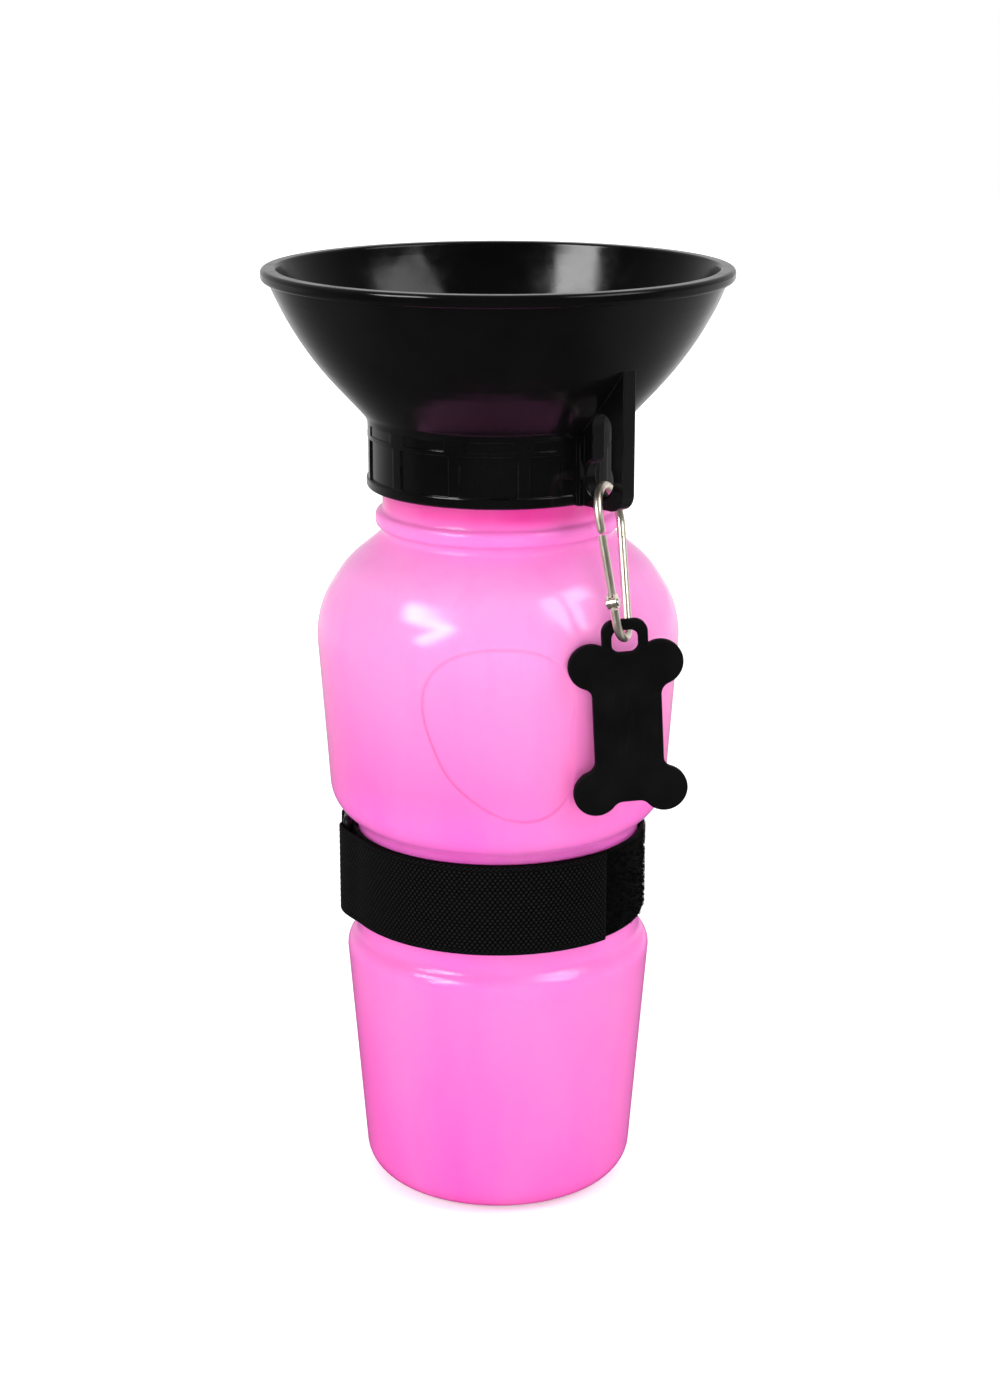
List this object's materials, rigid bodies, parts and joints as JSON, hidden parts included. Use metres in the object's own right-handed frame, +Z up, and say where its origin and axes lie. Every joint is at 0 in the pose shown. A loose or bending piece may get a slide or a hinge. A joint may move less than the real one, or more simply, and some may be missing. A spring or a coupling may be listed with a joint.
{
  "type": "dog travel water bottle",
  "caption": "Squeeze bottle whose screw cap opens into a wide drinking bowl for a dog, with a webbing hand strap, a carabiner and a bone-shaped tag.",
  "frame": {"origin": "centre of the base, on the surface that the bottle stands on", "axes": "+Z up along the bottle's axis, -Y towards the front that carries the medallion, +X to the right seen from the front"},
  "size_m": [0.125, 0.125, 0.2565],
  "materials": {
    "bottle_plastic": "satin translucent squeeze-bottle plastic",
    "cap_plastic": "moulded black with a soft gloss",
    "gasket_rubber": "matte silicone",
    "tube_plastic": "clear extruded tube",
    "webbing": "woven twill outside, loop pile on the lower layer",
    "hook_strip": "woven backing with moulded hooks",
    "stitch_thread": "bonded thread",
    "ring_plastic": "moulded black",
    "clip_metal": "nickel-plated wire with fine scratches",
    "spring_steel": "drawn wire",
    "tag_plastic": "matte soft plastic with rounded edges"
  },
  "bodies": {
    "bottle": {"bottle": "bottle_plastic"},
    "gasket": {"gasket": "gasket_rubber"},
    "cap": {"bowl_cap": "cap_plastic", "dip_tube": "tube_plastic"},
    "strap": {"strap_band": "webbing", "strap_ring": "ring_plastic", "strap_stitches": "stitch_thread"},
    "strap_tab": {"strap_tab": "webbing", "hook_patch": "hook_strip"},
    "carabiner": {"carabiner_frame": "clip_metal", "gate_pin": "clip_metal"},
    "gate": {"carabiner_gate": "clip_metal", "gate_spring": "spring_steel"},
    "tag": {"bone_tag": "tag_plastic"}
  },
  "joints": [
    {"name": "cap_lift", "type": "slide", "parent": "bottle", "child": "gasket", "axis": [0, 0, 1], "range_m": [0, 0.0118]},
    {"name": "cap_turn", "type": "hinge", "parent": "gasket", "child": "cap", "pos_m": [0, 0, 0.2], "axis": [0, 0, 1], "range_deg": [0, 840]},
    {"name": "strap_turn", "type": "hinge", "parent": "bottle", "child": "strap", "pos_m": [0, 0, 0.0913], "axis": [0, 0, 1], "continuous": true},
    {"name": "tab_peel", "type": "hinge", "parent": "strap", "child": "strap_tab", "pos_m": [0.00334, -0.04152, 0.0913], "axis": [0, 0, -1], "range_deg": [0, 75]},
    {"name": "carabiner_swing", "type": "hinge", "parent": "cap", "child": "carabiner", "pos_m": [0.02769, -0.03185, 0.2041], "axis": [-0.7547, -0.6561, 0], "range_deg": [0, 60]},
    {"name": "gate_open", "type": "hinge", "parent": "carabiner", "child": "gate", "pos_m": [0.02922, -0.04756, 0.17693], "axis": [-0.9201, 0.3143, -0.2336], "range_deg": [0, 30], "stiffness_Nm_per_rad": 0.03, "springref_deg": -17.19},
    {"name": "tag_swing", "type": "hinge", "parent": "carabiner", "child": "tag", "pos_m": [0.03208, -0.04622, 0.16746], "axis": [0.1219, -0.9925, 0], "range_deg": [-20, 20]}
  ],
  "couplings": [
    {"joint": "cap_lift", "follows": "cap_turn", "m_per_rad": 0.00079577}
  ]
}
